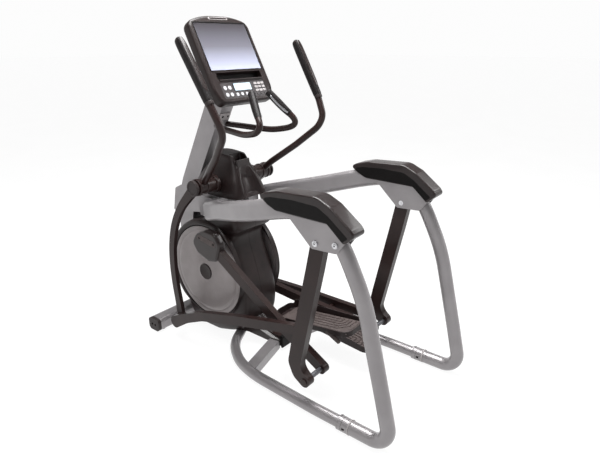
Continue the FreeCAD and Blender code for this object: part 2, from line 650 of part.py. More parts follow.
def build_console():
    """Display housing, back, glass, keypad, neck."""
    half, tall, deep = dim("console_wide") / 2, dim("console_high"), dim("console_deep")
    face = [(-half + 22, 0, 40), (half - 22, 0, 40), (half, 70, 60), (half - 4, tall - 30, 50),
            (90, tall, 400), (-90, tall, 400), (-half + 4, tall - 30, 50), (-half, 70, 60)]
    housing = console_pad("console_block", [rounded(face)], "dims.console_deep", -deep)
    screen_wide, screen_high = dim("screen_wide"), dim("screen_high")
    low = dim("screen_low")
    recess = console_box("screen_recess", -screen_wide / 2, low, -5, screen_wide, screen_high, 20)
    slot = console_box("tray_slot", -150, 116, -34, 300, 38, 60)
    panel = console_box("keypad_recess", -150, 22, -4, 300, 82, 20)
    cavity = console_box("housing_cavity", -half + 30, 30, -deep - 1, 2 * half - 60, tall - 80, 16)
    node(cut("console_housing", housing, [recess, slot, panel, cavity]), "console_housing")
    back = console_pad("console_back", [rounded([(-150, 40, 40), (150, 40, 40), (160, tall - 70, 60),
                                                 (-160, tall - 70, 60)])], "18", -deep - 18)
    node(back, "console_back")
    node(console_box("screen_glass", -screen_wide / 2 + 0.5, low + 0.5, -5, screen_wide - 1,
                     screen_high - 1, 4), "screen_glass")
    node(console_box("keypad_panel", -149.5, 22.5, -4, 299, 81, 3), "keypad_panel")
    keys = []

    def key(a, b, radius):
        round_key = doc.addObject("Part::Cylinder", "key%d" % len(keys))
        round_key.Radius, round_key.Height = radius, 1.6
        round_key.Placement = console_placement().multiply(Placement(Vector(a, b, -1), Rotation()))
        keys.append(round_key)

    for column in range(2):
        for line in range(2):
            key(-128 + 30 * column, 42 + 34 * line, 10)
    for column in range(4):
        key(-62 + 32 * column, 40, 9)
    for column in range(3):
        for line in range(4):
            keys.append(console_box("grid_key%d_%d" % (column, line), 72 + 25 * column, 29 + 18 * line,
                                    -1, 20, 12, 1.6))
    keys.append(console_box("status_window", -66, 62, -1, 110, 32, 1.2))
    node(group("keypad_buttons", keys), "keypad_buttons")

    neck = rounded([(402, 1287, 6), (526, 1287, 6), (500, 1400, 20), (452, 1500, 6), (404, 1476, 6),
                    (330, 1338, 10), (352, 1300, 20)])
    block = body_pad("neck_block", "YZ_Plane", [neck], "76", "-38")
    room = console_box("console_room", -300, -200, -deep - 18, 600, 900, 200)
    node(cut("console_neck", block, [room]), "console_neck")


def build_pulse_bars(mast_block):
    """Fixed hand holds with pulse sensors, bolted to the mast."""
    bars = []
    sensors = []
    for label, side in SIDES:
        points = [(side * 30, 480, 1172), (side * 62, 400, 1166), (side * 100, 210, 1158, 300),
                  (side * 142, 40, 1192), (side * 96, 120, 1276), (side * 56, 186, 1352)]
        whole = bar(label + "_pulse_whole", points, 60, "dims.pulse_tube_radius")
        bars.append(cut(label + "_pulse_bar", whole, [mast_block]))
        sleeve = [(side * 119, 80, 1234), (side * 96, 120, 1276), (side * 58, 183, 1348)]
        skin = bar(label + "_sensor_skin", sleeve, 60, "dims.sensor_radius")
        sensors.append(cut(label + "_sensor", skin, [whole]))
    node(group("pulse_handlebars", bars), "pulse_handlebars")
    node(group("pulse_sensors", sensors), "pulse_sensors")


# ---------------------------------------------------------------- moving arms

def relative(points, origin, angle):
    """Rest-pose side-view points (y, z, ...) as seen from a pivot turned by angle."""
    c, s = math.cos(math.radians(-angle)), math.sin(math.radians(-angle))
    moved = []
    for y, z, *rest in points:
        dy, dz = y - origin[0], z - origin[1]
        moved.append((dy * c - dz * s, dy * s + dz * c, *rest))
    return moved


def build_hanger(label, side, pose):
    """Swing arm that hangs from the gussets, and its cross shaft."""
    points = [(-443, 842, 33), (-418, 713, 34), (-334, 317, 34), (-318, 236, 34), (-340, 190, 33),
              (REST["foot"][0], REST["foot"][1], 27)]
    local = relative(points, REST["hanger"], REST["hang"])
    foot = relative([REST["foot"]], REST["hanger"], REST["hang"])[0]
    bore = dim("shaft_radius") + dim("fit")
    loops = [rounded(stroke(local, 60)), ring(0, 0, bore), ring(foot[0], foot[1], bore)]
    arm = slab(label + "_swing_arm", loops, side, "hanger_near", "hanger_far", pose["hanger"],
               pose["hang"])
    node(arm, label + "_swing_arm")
    shaft = side_rod(label + "_pivot_shaft", side, "dims.support_near - 4", "dims.hanger_far + 3",
                     pose["foot"][0], pose["foot"][1], "dims.shaft_radius")
    node(shaft, label + "_pivot_shaft")


def build_support(label, side, pose):
    """Support arm from the swing arm's foot to the crank, with its knuckle cover."""
    reach = dim("support_length")
    bore = dim("shaft_radius") + dim("fit")
    path = [(0, 0, 25), (301, 2, 25), (560, 18, 25), (740, 32, 26), (830, 34, 30)]
    loops = [rounded(stroke(path, 400)), ring(0, 0, bore), ring(dim("pedal_pivot"), 0, bore + 2)]
    arm = slab(label + "_support_arm", loops, side, "support_near", "support_far", pose["foot"],
               pose["support"])
    node(arm, label + "_support_arm")
    shell = [(946, -30, 40), (940, 34, 50), (892, 98, 50), (828, 128, 40), (766, 96, 40), (748, -4, 40),
             (804, -46, 50), (884, -58, 50)]
    knuckle = slab(label + "_knuckle_block", [rounded(shell), ring(reach, 0, 17)], side,
                   "knuckle_near", "knuckle_far", pose["foot"], pose["support"])
    node(cut(label + "_knuckle_cover", knuckle, [arm]), label + "_knuckle_cover")


def build_pedal(label, side, pose):
    """Pedal arm with its shaft, and the foot plate it carries."""
    path = [(-168, 9, 22), (30, 20, 24), (200, 31, 25), (480, 40, 25), (620, 24, 27), (728, 0, 38)]
    arm = slab(label + "_pedal_bar", [rounded(stroke(path, 300))], side, "link_near", "link_far",
               pose["pedal"], pose["link"])
    shaft = side_rod(label + "_pedal_shaft", side, "dims.pedal_far - 6", "dims.link_near",
                     pose["pedal"][0], pose["pedal"][1], "dims.shaft_radius + 2")
    node(fuse(label + "_pedal_arm", [arm, shaft]), label + "_pedal_arm")

    place = Placement(Vector(0, pose["pedal"][0], pose["pedal"][1]),
                      Rotation(X_AXIS, pose["link"] + dim("foot_slope")))
    wide = dim("pedal_far") - dim("pedal_near")
    inner = -dim("pedal_far") if side < 0 else dim("pedal_near")

    def piece(name, x_off, y, z, size):
        block = doc.addObject("Part::Box", label + name)
        block.Length, block.Width, block.Height = size
        block.Placement = place.multiply(Placement(Vector(inner + x_off, y, z), Rotation()))
        return block

    wall_x = wide - 10 if side < 0 else 0
    rim_x = 0 if side < 0 else wide - 10
    plate = piece("_plate", 0, -385, -16, (wide, 440, 14))
    wall = piece("_wall", wall_x, -385, -2, (10, 440, 44))
    toe = piece("_toe", 0, 45, -2, (wide, 10, 34))
    rim = piece("_rim", rim_x, -385, -2, (10, 440, 12))
    boss = piece("_boss", rim_x, -30, -30, (10, 60, 30))
    body = fuse(label + "_pedal_blank", [plate, wall, toe, rim, boss])
    node(cut(label + "_pedal", body, [shaft]), label + "_pedal")


def build_lever(label, side, pose):
    """Handle lever: hub and lower arm, upper tube and its grip."""
    hub_y, hub_z = pose["lever"]
    path = [(395, 895, 32), (438, 852, 24), (512, 778, 20), (574, 680, 20), (613, 556, 20),
            (624, 420, 20), (616, 300, 20), (600, 200, 21), (REST["toe"][0], REST["toe"][1], 24)]
    local = relative(path, REST["lever"], REST["swing"])
    arm = slab(label + "_lower_arm", [rounded(stroke(local, 900))], side, "lever_near", "lever_far",
               pose["lever"], pose["swing"])
    barrel = side_rod(label + "_hub", side, "dims.hub_near", "dims.lever_near", hub_y, hub_z,
                      "dims.hub_radius")
    bore = side_rod(label + "_hub_bore", side, "dims.hub_near - 1", "dims.lever_near - 4", hub_y, hub_z,
                    "dims.axle_radius + dims.fit")
    cap = side_rod(label + "_hub_cap", side, "dims.lever_far", "dims.lever_far + 7", hub_y, hub_z,
                   "dims.hub_radius - 5")
    whole = fuse(label + "_lever_blank", [arm, barrel, cap])
    lever = node(cut(label + "_handle_lever", whole, [bore]), label + "_handle_lever")

    turn = Rotation(X_AXIS, pose["swing"] - REST["swing"])
    centre = Vector(0, hub_y, hub_z)
    rest_points = [(214, 388, 902), (232, 330, 962), (282, 205, 1075), (330, 100, 1185), (352, 92, 1240),
                   (360, 134, 1318), (360, 310, 1588)]
    points = []
    for x, y, z in rest_points:
        points.append(tuple(turn.multVec(Vector(side * x, y, z) - centre) + centre))
    handle = bar(label + "_upper_bar", points, 220, "dims.lever_tube_radius")
    node(cut(label + "_handlebar", handle, [whole]), label + "_handlebar")
    start = Vector(*points[-2])
    end = Vector(*points[-1])
    along = (end - start).normalize()
    low = start + along * 18
    high = end + along * 12
    grip = bar(label + "_grip_skin", [tuple(low), tuple(high)], 10, "dims.grip_radius")
    node(cut(label + "_grip", grip, [handle]), label + "_grip")


# ---------------------------------------------------------------- assembly

build_base()
mast_block, wing_room = build_mast()
build_side_frame()
build_drive()
build_shroud(wing_room)
build_console()
build_pulse_bars(mast_block)
node(rod("handle_axle", "-(dims.lever_near - 6)", "dims.lever_near - 6", dim("lever_y"), dim("lever_z"),
         "dims.axle_radius"), "handle_axle")
for label, side in SIDES:
    build_hanger(label, side, POSES[label])
    build_support(label, side, POSES[label])
    build_pedal(label, side, POSES[label])
    build_lever(label, side, POSES[label])
doc.recompute()

failed = [o.Name for o in doc.Objects if set(o.State) & {"Invalid", "Error"}]
for piece in nodes:
    shape = piece.Shape
    if shape.isNull() or not shape.isValid() or not shape.Solids:
        failed.append(piece.Label)
if failed:
    raise RuntimeError("failed: " + ", ".join(failed))
os.makedirs("parts", exist_ok=True)
for piece in nodes:
    piece.Shape.exportStep("parts/%s.step" % piece.Label)
total = Part.makeCompound([piece.Shape for piece in nodes]).BoundBox
print(len(nodes), "nodes", total)
for label in ("left", "right"):
    print(label, POSES[label])
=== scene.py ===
import json
import math

import bmesh
import bpy
from mathutils import Matrix, Vector


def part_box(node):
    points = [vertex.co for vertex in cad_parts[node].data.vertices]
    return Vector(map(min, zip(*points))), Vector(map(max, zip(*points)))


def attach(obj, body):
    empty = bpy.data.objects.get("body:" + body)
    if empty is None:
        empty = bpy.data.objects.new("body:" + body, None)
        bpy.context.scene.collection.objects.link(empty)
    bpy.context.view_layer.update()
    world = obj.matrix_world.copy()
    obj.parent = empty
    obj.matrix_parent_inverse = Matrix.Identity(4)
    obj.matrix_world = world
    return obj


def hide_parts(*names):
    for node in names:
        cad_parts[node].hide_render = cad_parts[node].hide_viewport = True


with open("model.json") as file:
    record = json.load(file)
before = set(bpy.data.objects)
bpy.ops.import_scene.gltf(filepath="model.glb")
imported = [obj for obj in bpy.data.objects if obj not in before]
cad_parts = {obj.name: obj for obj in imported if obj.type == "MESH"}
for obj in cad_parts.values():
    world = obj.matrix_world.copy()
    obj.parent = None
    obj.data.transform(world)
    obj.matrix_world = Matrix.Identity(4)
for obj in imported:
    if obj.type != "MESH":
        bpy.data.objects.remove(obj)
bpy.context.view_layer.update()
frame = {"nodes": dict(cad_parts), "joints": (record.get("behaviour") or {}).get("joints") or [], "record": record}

NODES = frame["nodes"]
JOINTS = {j["name"]: j for j in frame["joints"]}
SIDES = (("left", -1), ("right", 1))
MM = 0.001

# Slopes of the moving arms in the stored pose, in degrees in the side view.
SUPPORT_SLOPE = {"left": 28.402, "right": 0.632}
LINK_SLOPE = {"left": -16.803, "right": -4.099}
PEDAL_PITCH = 8.8
CONSOLE_LEAN = 27.9
CONSOLE_FOOT = Vector((0, 0.250, 1.305))
CRANK = Vector(JOINTS["crank_spin"]["pos_m"])


# ------------------------------------------------------------------ materials

class Shader:
    """Small helper that wires one Principled material from noise and bump nodes."""

    def __init__(self, name, rough, metallic=0.0, coat=0.0, coat_rough=0.1, specular=0.5):
        self.material = bpy.data.materials.new(name)
        self.material.use_nodes = True
        self.tree = self.material.node_tree
        self.shader = self.tree.nodes["Principled BSDF"]
        self.shader.inputs["Metallic"].default_value = metallic
        self.shader.inputs["Coat Weight"].default_value = coat
        self.shader.inputs["Coat Roughness"].default_value = coat_rough
        self.shader.inputs["Specular IOR Level"].default_value = specular
        self.rough = rough
        self.coords = self.tree.nodes.new("ShaderNodeTexCoord")
        self.height = None

    def node(self, kind, **values):
        made = self.tree.nodes.new(kind)
        for key, value in values.items():
            if key in made.inputs:
                made.inputs[key].default_value = value
            else:
                setattr(made, key, value)
        return made

    def link(self, out, target):
        self.tree.links.new(out, target)

    def noise(self, scale, detail=4.0, stretch=(1, 1, 1)):
        mapping = self.node("ShaderNodeMapping")
        mapping.inputs["Scale"].default_value = stretch
        self.link(self.coords.outputs["Object"], mapping.inputs["Vector"])
        noise = self.node("ShaderNodeTexNoise", Scale=scale, Detail=detail)
        self.link(mapping.outputs["Vector"], noise.inputs["Vector"])
        return noise.outputs["Fac"]

    def cells(self, scale):
        cells = self.node("ShaderNodeTexVoronoi", Scale=scale)
        self.link(self.coords.outputs["Object"], cells.inputs["Vector"])
        return cells.outputs["Distance"]

    def ramp(self, source, low, high):
        """Spread a 0-1 value to low..high."""
        spread = self.node("ShaderNodeMapRange")
        spread.inputs["To Min"].default_value = low
        spread.inputs["To Max"].default_value = high
        self.link(source, spread.inputs["Value"])
        return spread.outputs["Result"]

    def colour(self, source, dark, light, low=0.3, high=0.7):
        ramp = self.node("ShaderNodeValToRGB")
        ramp.color_ramp.elements[0].position = low
        ramp.color_ramp.elements[0].color = (*dark, 1)
        ramp.color_ramp.elements[1].position = high
        ramp.color_ramp.elements[1].color = (*light, 1)
        self.link(source, ramp.inputs["Fac"])
        self.link(ramp.outputs["Color"], self.shader.inputs["Base Color"])
        return ramp

    def roughness(self, source, spread):
        self.link(self.ramp(source, self.rough - spread, self.rough + spread),
                  self.shader.inputs["Roughness"])

    def bump(self, source, strength, distance=0.001):
        bump = self.node("ShaderNodeBump", Strength=strength, Distance=distance)
        self.link(source, bump.inputs["Height"])
        if self.height:
            self.link(self.height.outputs["Normal"], bump.inputs["Normal"])
        self.link(bump.outputs["Normal"], self.shader.inputs["Normal"])
        self.height = bump


def paint(name, dark, light, rough, metallic, coat, specular=0.5):
    """Powder paint: fine orange peel, faint cloudy tone."""
    made = Shader(name, rough, metallic, coat, 0.12, specular)
    made.colour(made.noise(9, 3), dark, light)
    made.roughness(made.noise(60, 3), 0.05)
    made.bump(made.noise(240, 2), 0.05, 0.0002)
    return made.material


def moulded(name, dark, light, rough, grain, strength, coat=0.0, specular=0.25):
    """Moulded plastic with a spark-eroded grain."""
    made = Shader(name, rough, 0.0, coat, 0.08, specular)
    made.colour(made.noise(14, 4), dark, light)
    made.roughness(made.noise(90, 4), 0.06)
    made.bump(made.cells(grain * 0.4), strength, 0.0002)
    made.bump(made.noise(grain * 0.2, 3), strength * 0.5, 0.0001)
    return made.material


def rubber(name, dark, light, rough):
    made = Shader(name, rough, specular=0.22)
    made.colour(made.noise(40, 5), dark, light)
    made.roughness(made.noise(120, 4), 0.07)
    made.bump(made.noise(900, 3), 0.3, 0.0004)
    return made.material


def brushed(name, dark, light, rough, stretch):
    made = Shader(name, rough, 1.0)
    made.colour(made.noise(30, 5, stretch), dark, light)
    made.roughness(made.noise(80, 4, stretch), 0.08)
    made.bump(made.noise(400, 2, stretch), 0.1, 0.0002)
    return made.material


def screen_face_with_painted_reflection(name):
    """Dark display glass with a painted reflection: lighter and bluer towards its lower edge."""
    made = Shader(name, 0.16, 0.0, 0.6, 0.03)
    split = made.node("ShaderNodeSeparateXYZ")
    made.link(made.coords.outputs["Generated"], split.inputs["Vector"])
    # painted reflection: pale blue-grey at the lower edge, fading to the dark glass colour at the top
    ramp = made.colour(split.outputs["Z"], (0.40, 0.42, 0.53), (0.040, 0.036, 0.041), 0.0, 1.0)
    middle = ramp.color_ramp.elements.new(0.5)
    middle.color = (0.135, 0.133, 0.160, 1)
    made.roughness(made.noise(30, 2), 0.02)
    made.bump(made.noise(900, 2), 0.02, 0.0001)
    return made.material


MATERIALS = {
    "silver_paint": paint("silver_paint", (0.236, 0.222, 0.228), (0.276, 0.261, 0.267), 0.34, 0.42, 0.30),
    "black_paint": paint("black_paint", (0.0140, 0.0066, 0.0060), (0.0220, 0.0110, 0.0100), 0.34, 0.0, 0.10,
                         0.24),
    "graphite_plastic": moulded("graphite_plastic", (0.0110, 0.0062, 0.0060), (0.0180, 0.0108, 0.0104), 0.38,
                                1500, 0.07, 0.06),
    "gloss_plastic": moulded("gloss_plastic", (0.0115, 0.0068, 0.0066), (0.0180, 0.0112, 0.0108), 0.32, 900,
                             0.05, 0.25, 0.3),
    "matte_black": moulded("matte_black", (0.0026, 0.0020, 0.0020), (0.0050, 0.0040, 0.0040), 0.55, 1300, 0.3,
                           0.0, 0.15),
    "cap_plastic": moulded("cap_plastic", (0.022, 0.017, 0.0168), (0.030, 0.022, 0.0215), 0.45, 1200, 0.10),
    "rubber": rubber("rubber", (0.0052, 0.0040, 0.0040), (0.0110, 0.0085, 0.0085), 0.46),
    "pedal_rubber": rubber("pedal_rubber", (0.052, 0.040, 0.038), (0.078, 0.062, 0.059), 0.5),
    "disc_silver": paint("disc_silver", (0.200, 0.176, 0.175), (0.250, 0.223, 0.222), 0.40, 0.15, 0.15),
    "steel": brushed("steel", (0.36, 0.36, 0.38), (0.55, 0.55, 0.57), 0.28, (1, 12, 12)),
    "chrome": brushed("chrome", (0.50, 0.50, 0.52), (0.68, 0.68, 0.70), 0.14, (4, 4, 4)),
    "cast_iron": brushed("cast_iron", (0.10, 0.10, 0.11), (0.18, 0.18, 0.19), 0.45, (1, 3, 3)),
    "screen_glass": screen_face_with_painted_reflection("screen_glass"),
    "keypad_print": moulded("keypad_print", (0.040, 0.036, 0.037), (0.058, 0.052, 0.053), 0.35, 1500, 0.05),
    "key_white": moulded("key_white", (0.42, 0.42, 0.44), (0.52, 0.52, 0.54), 0.35, 1500, 0.05),
    "label_grey": moulded("label_grey", (0.30, 0.28, 0.28), (0.40, 0.37, 0.37), 0.35, 1500, 0.05),
    "window_blue": moulded("window_blue", (0.46, 0.56, 0.64), (0.56, 0.66, 0.73), 0.2, 1500, 0.02, 0.4),
}

SLOT_OF = {entry["node"]: entry["material_slot"] for entry in frame["record"]["subparts"]}
LOOK_OF = {"crank_pins": "cast_iron", "left_pivot_shaft": "cast_iron", "right_pivot_shaft": "cast_iron"}
for name, obj in NODES.items():
    obj.data.materials.clear()
    obj.data.materials.append(MATERIALS[LOOK_OF.get(name, SLOT_OF[name])])


# ------------------------------------------------------------------ mesh helpers

def soften(obj, width, segments=3, angle=35):
    """Rounded edges and smooth shading."""
    if width:
        bevel = obj.modifiers.new("edges", "BEVEL")
        bevel.width = width
        bevel.segments = segments
        bevel.limit_method = "ANGLE"
        bevel.angle_limit = math.radians(angle)
        bevel.harden_normals = False
    for face in obj.data.polygons:
        face.use_smooth = True
    split = obj.modifiers.new("split", "EDGE_SPLIT")
    split.split_angle = math.radians(40 if width else 32)
    obj.modifiers.new("weighted", "WEIGHTED_NORMAL")


def finish_piece(obj, body, material, replaced=()):
    obj.data.materials.append(MATERIALS[material])
    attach(obj, body)
    if replaced:
        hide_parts(*replaced)
    return obj


def add_mesh(name, verts, faces):
    mesh = bpy.data.meshes.new(name)
    mesh.from_pydata([tuple(v) for v in verts], [], faces)
    mesh.validate()
    obj = bpy.data.objects.new(name, mesh)
    bpy.context.scene.collection.objects.link(obj)
    tidy = bmesh.new()
    tidy.from_mesh(mesh)
    bmesh.ops.remove_doubles(tidy, verts=tidy.verts, dist=1e-6)
    bmesh.ops.recalc_face_normals(tidy, faces=tidy.faces)
    tidy.to_mesh(mesh)
    tidy.free()
    for face in mesh.polygons:
        face.use_smooth = True
    return obj


def rounded(points, steps=8):
    """Closed outline from corners (a, b, radius)."""
    out = []
    count = len(points)
    for i, (a, b, radius) in enumerate(points):
        here = Vector((a, b))
        back = Vector(points[i - 1][:2]) - here
        ahead = Vector(points[(i + 1) % count][:2]) - here
        half = back.angle(ahead) / 2
        reach = min(radius / math.tan(half), 0.49 * back.length, 0.49 * ahead.length)
        bow = reach * math.tan(half)
        middle = (back.normalized() + ahead.normalized())
        if middle.length < 1e-6 or reach < 1e-6:
            out.append(here)
            continue
        centre = here + middle.normalized() * (bow / math.sin(half))
        start = here + back.normalized() * reach - centre
        end = here + ahead.normalized() * reach - centre
        sweep = start.angle_signed(end)
        for k in range(steps + 1):
            turn = -sweep * k / steps
            c, s = math.cos(turn), math.sin(turn)
            out.append(centre + Vector((start.x * c - start.y * s, start.x * s + start.y * c)))
    return out


def slab(name, outline, low, high, bevel, place=Matrix.Identity(4), plane="YZ"):
    """Outline extruded across its plane, with softened edges."""
    def spot(p, depth):
        flat = {"YZ": (depth, p.x, p.y), "XY": (p.x, p.y, depth)}[plane]
        return place @ Vector(flat)
    count = len(outline)
    verts = [spot(p, low) for p in outline] + [spot(p, high) for p in outline]
    faces = [tuple(range(count))[::-1], tuple(range(count, 2 * count))]
    faces += [(i, (i + 1) % count, count + (i + 1) % count, count + i) for i in range(count)]
    obj = add_mesh(name, verts, faces)
    soften(obj, bevel)
    return obj


def lathe(name, profile, centre, side=1, segments=96):
    """Turned piece about an X axis; profile is a list of (x, radius)."""
    verts = []
    for x, radius in profile:
        for k in range(segments):
            turn = 2 * math.pi * k / segments
            verts.append((side * x, centre.y + radius * math.cos(turn), centre.z + radius * math.sin(turn)))
    faces = []
    for i in range(len(profile) - 1):
        for k in range(segments):
            n = (k + 1) % segments
            faces.append((i * segments + k, i * segments + n, (i + 1) * segments + n, (i + 1) * segments + k))
    faces.append(tuple(range(segments))[::-1])
    last = (len(profile) - 1) * segments
    faces.append(tuple(range(last, last + segments)))
    obj = add_mesh(name, verts, faces)
    sharp = obj.modifiers.new("split", "EDGE_SPLIT")
    sharp.split_angle = math.radians(35)
    return obj


def superellipse(width, height, power, count=40):
    """Closed section with half sizes width and height."""
    spots = []
    for k in range(count):
        turn = 2 * math.pi * k / count
        c, s = math.cos(turn), math.sin(turn)
        spots.append((width * math.copysign(abs(c) ** (2 / power), c),
                      height * math.copysign(abs(s) ** (2 / power), s)))
    return spots


def smooth_path(points, count):
    """Even Catmull-Rom samples through 3-D points (last item of each is kept along)."""
    out = []
    spans = len(points) - 1
    for k in range(count + 1):
        u = k / count * spans
        i = min(int(u), spans - 1)
        t = u - i
        p = [points[max(i - 1, 0)], points[i], points[i + 1], points[min(i + 2, spans)]]
        out.append([0.5 * (2 * p[1][c] + (p[2][c] - p[0][c]) * t
                           + (2 * p[0][c] - 5 * p[1][c] + 4 * p[2][c] - p[3][c]) * t * t
                           + (3 * p[1][c] - p[0][c] - 3 * p[2][c] + p[3][c]) * t ** 3)
                    for c in range(len(points[0]))])
    return out


def loft(name, stations, up, power=2.0, count=40, samples=48):
    """Smooth bar through stations (x, y, z, half width, half height)."""
    path = smooth_path(stations, samples)
    verts, faces = [], []
    for i, (x, y, z, wide, tall) in enumerate(path):
        before = Vector(path[max(i - 1, 0)][:3])
        after = Vector(path[min(i + 1, samples)][:3])
        along = (after - before).normalized()
        across = along.cross(up).normalized()
        lift = across.cross(along).normalized()
        for a, b in superellipse(wide, tall, power, count):
            verts.append(Vector((x, y, z)) + across * a + lift * b)
    for i in range(samples):
        for k in range(count):
            n = (k + 1) % count
            faces.append((i * count + k, i * count + n, (i + 1) * count + n, (i + 1) * count + k))
    faces.append(tuple(range(count))[::-1])
    faces.append(tuple(range(samples * count, (samples + 1) * count)))
    return add_mesh(name, verts, faces)


def pivot(side_name, joint):
    return Vector(JOINTS[side_name + "_" + joint]["pos_m"])


def side_frame(origin, slope):
    """Frame whose Y runs along a slope in the side view, at an origin on the middle plane."""
    return Matrix.Translation((0, origin.y, origin.z)) @ Matrix.Rotation(math.radians(slope), 4, "X")


# ------------------------------------------------------------------ CAD nodes with soft edges

EDGE_WIDTHS = {
    "front_stabilizer": 0.0, "stabilizer_end_caps": 0.004, "mast_side_plates": 0.0015, "gussets": 0.0015,
    "left_swing_arm": 0.005, "right_swing_arm": 0.005, "left_support_arm": 0.006,
    "right_support_arm": 0.006, "left_pedal_arm": 0.006, "right_pedal_arm": 0.006,
    "left_handle_lever": 0.004, "right_handle_lever": 0.004, "console_housing": 0.008,
    "console_back": 0.006, "console_neck": 0.005, "rail_brackets": 0.005, "cross_tubes": 0.006,
    "base_cover": 0.008, "left_shroud": 0.0, "right_shroud": 0.0, "keypad_panel": 0.0006,
    "keypad_buttons": 0.0006, "disc_caps": 0.002, "hoop_joints": 0.0015,
}
for name, obj in NODES.items():
    soften(obj, EDGE_WIDTHS.get(name, 0.0))


# ------------------------------------------------------------------ stage

def build_stage():
    """White sweep, a dim room with a bright band at eye level, soft lamps above."""
    floor = add_mesh("studio_floor", [(-60, -60, 0), (60, -60, 0), (60, 60, 0), (-60, 60, 0)], [(0, 1, 2, 3)])
    plain = Shader("floor_paper", 0.9, specular=0.05)
    tone = plain.colour(plain.noise(2, 2), (0.1175, 0.1175, 0.1175), (0.1190, 0.1190, 0.1190))
    plain.roughness(plain.noise(8, 2), 0.04)
    plain.link(tone.outputs["Color"], plain.shader.inputs["Emission Color"])
    plain.shader.inputs["Emission Strength"].default_value = 7.8
    floor.data.materials.append(plain.material)

    world = bpy.data.worlds.new("studio")
    bpy.context.scene.world = world
    world.use_nodes = True
    tree = world.node_tree
    coords = tree.nodes.new("ShaderNodeTexCoord")
    split = tree.nodes.new("ShaderNodeSeparateXYZ")
    lift = tree.nodes.new("ShaderNodeMapRange")
    lift.inputs["From Min"].default_value = -1.0
    shade = tree.nodes.new("ShaderNodeValToRGB")
    stops = ((0.50, 0.98), (0.575, 0.98), (0.64, 0.22), (1.0, 0.30))
    for element, (spot, level) in zip(shade.color_ramp.elements, stops[::3]):
        element.position, element.color = spot, (level, level, level, 1)
    for spot, level in stops[1:3]:
        shade.color_ramp.elements.new(spot).color = (level, level, level, 1)
    tree.links.new(coords.outputs["Generated"], split.inputs["Vector"])
    tree.links.new(split.outputs["Z"], lift.inputs["Value"])
    tree.links.new(lift.outputs["Result"], shade.inputs["Fac"])
    tree.links.new(shade.outputs["Color"], tree.nodes["Background"].inputs["Color"])

    def area(name, spot, aim, size, power):
        light = bpy.data.lights.new(name, "AREA")
        light.shape = "RECTANGLE"
        light.size, light.size_y = size
        light.energy = power
        lamp = bpy.data.objects.new(name, light)
        bpy.context.scene.collection.objects.link(lamp)
        lamp.location = spot
        lamp.rotation_euler = (Vector(aim) - Vector(spot)).to_track_quat("-Z", "Y").to_euler()

    area("key_light", (-2.4, -0.6, 3.4), (0, 0, 0.6), (1.6, 1.2), 26)
    area("top_light", (0.3, 0.2, 3.8), (0, 0, 0.6), (2.4, 2.4), 270)
    area("rear_light", (2.4, -1.6, 2.4), (0, -0.2, 0.7), (1.2, 1.2), 30)


def build_camera():
    """Three-quarter view from the left rear."""
    azimuth, elevation, roll = math.radians(-51.14), math.radians(19.60), math.radians(-0.09)
    back = Vector((math.sin(azimuth) * math.cos(elevation), -math.cos(azimuth) * math.cos(elevation),
                   math.sin(elevation)))
    right = Vector((math.cos(azimuth), math.sin(azimuth), 0))
    up = back.cross(right)
    x_axis = right * math.cos(roll) + up * math.sin(roll)
    y_axis = up * math.cos(roll) - right * math.sin(roll)
    data = bpy.data.cameras.new("photo_camera")
    data.sensor_width = 36.0
    data.lens = 31.09
    data.clip_start = 0.05
    camera = bpy.data.objects.new("photo_camera", data)
    bpy.context.scene.collection.objects.link(camera)
    turn = Matrix((x_axis, y_axis, back)).transposed().to_4x4()
    camera.matrix_world = Matrix.Translation((-1.8685, -1.5684, 1.5770)) @ turn
    bpy.context.scene.camera = camera


# ------------------------------------------------------------------ covers and shells

def carve(obj, cutters):
    """Cut boxes out of a piece and keep the result as its mesh."""
    for cutter in cutters:
        cut = obj.modifiers.new("carve", "BOOLEAN")
        cut.object = cutter
        cut.operation = "DIFFERENCE"
        cut.solver = "EXACT"
    bpy.context.view_layer.update()
    graph = bpy.context.evaluated_depsgraph_get()
    mesh = bpy.data.meshes.new_from_object(obj.evaluated_get(graph))
    obj.modifiers.clear()
    obj.data = mesh
    for cutter in cutters:
        bpy.data.objects.remove(cutter)
    soften(obj, 0)
    return obj


def halve(obj, side):
    """Keep the half of a piece on one side of the middle plane, with a hairline gap."""
    work = bmesh.new()
    work.from_mesh(obj.data)
    geometry = work.verts[:] + work.edges[:] + work.faces[:]
    bmesh.ops.bisect_plane(work, geom=geometry, plane_co=(side * 0.0006, 0, 0), plane_no=(-side, 0, 0),
                           clear_outer=True)
    edges = [e for e in work.edges if e.is_boundary]
    bmesh.ops.holes_fill(work, edges=edges)
    work.to_mesh(obj.data)
    work.free()
    return obj


def level_loft(name, levels, count=72, samples=60):
    """Shell through level sections: (z, half width, rear y, front y, power)."""
    path = smooth_path(levels, samples)
    verts, faces = [], []
    for z, wide, rear, front, power in path:
        for a, b in superellipse(wide, (front - rear) / 2, power, count):
            verts.append((a, (front + rear) / 2 + b, z))
    for i in range(samples):
        for k in range(count):
            n = (k + 1) % count
            faces.append((i * count + k, i * count + n, (i + 1) * count + n, (i + 1) * count + k))
    faces.append(tuple(range(count))[::-1])
    faces.append(tuple(range(samples * count, (samples + 1) * count)))
    return add_mesh(name, verts, faces)


